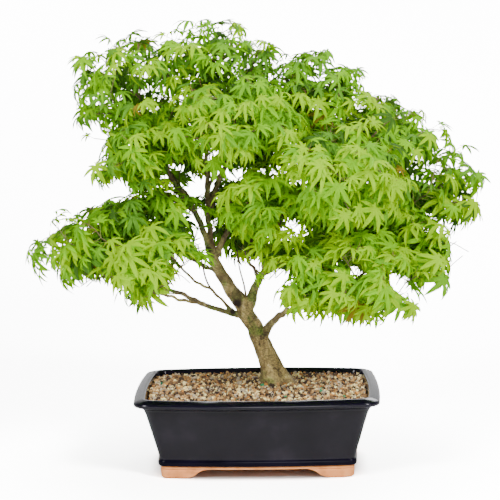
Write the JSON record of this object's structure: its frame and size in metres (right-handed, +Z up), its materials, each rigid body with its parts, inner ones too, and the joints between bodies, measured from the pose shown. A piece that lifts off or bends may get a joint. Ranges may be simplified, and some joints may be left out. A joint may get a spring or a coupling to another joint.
{
  "type": "bonsai japanese maple in a glazed pot",
  "caption": "Japanese maple bonsai: a leaning, forked trunk with spreading boughs and pads of green palmate leaves, in a dark glazed rectangular pot with terracotta feet and grit on the soil.",
  "frame": {"origin": "on the surface that the feet stand on, under the middle of the whole outline; the middle of the pot lies -7.9 mm along +X and -13.0 mm along +Y from it", "axes": "+Z up, +X to the right and +Y away, seen from the side that shows the trunk leaning to the left"},
  "size_m": [0.5762, 0.4384, 0.5725],
  "materials": {
    "glaze": "dark navy glaze, glossy on lip and foot band, satin on the wall",
    "terracotta": "unglazed, matte",
    "grit": "loose grit of mixed tan, cream, brown and grey",
    "bark": "olive brown bark with green moss",
    "leaf": "satin bright green leaves"
  },
  "bodies": {
    "root": {"pot_body": "glaze", "pot_floor": "terracotta", "foot_front_left": "terracotta", "foot_front_right": "terracotta", "foot_back_left": "terracotta", "foot_back_right": "terracotta", "soil": "grit", "trunk": "bark", "bough_low_left": "bark", "bough_low_left_front": "bark", "bough_inner_left": "bark", "bough_left_back": "bark", "bough_right_mid": "bark", "bough_right_mid_up": "bark", "bough_right_mid_back": "bark", "bough_right_long": "bark", "bough_right_back": "bark", "bough_low_right": "bark", "bough_low_right_far": "bark", "bough_leader_left": "bark", "bough_upper_left": "bark", "bough_upper_left_back": "bark", "bough_leader_centre": "bark", "bough_crown_back": "bark", "bough_top_right": "bark", "bough_crown_front": "bark", "bough_right_upper": "bark", "bough_right_upper_front": "bark", "bough_right_upper_back": "bark", "foliage_low_left_tip": "leaf", "foliage_low_left_front": "leaf", "foliage_low_left_top": "leaf", "foliage_low_left_back": "leaf", "foliage_centre_low": "leaf", "foliage_centre_middle": "leaf", "foliage_back_low": "leaf", "foliage_right_far": "leaf", "foliage_right_back": "leaf", "foliage_low_right_front": "leaf", "foliage_low_right_far": "leaf", "foliage_top_left": "leaf", "foliage_upper_left": "leaf", "foliage_upper_left_back": "leaf", "foliage_top": "leaf", "foliage_crown_back": "leaf", "foliage_top_right": "leaf", "foliage_crown_front": "leaf", "foliage_right_upper": "leaf", "foliage_right_front": "leaf", "foliage_right_upper_back": "leaf"}
  },
  "joints": []
}
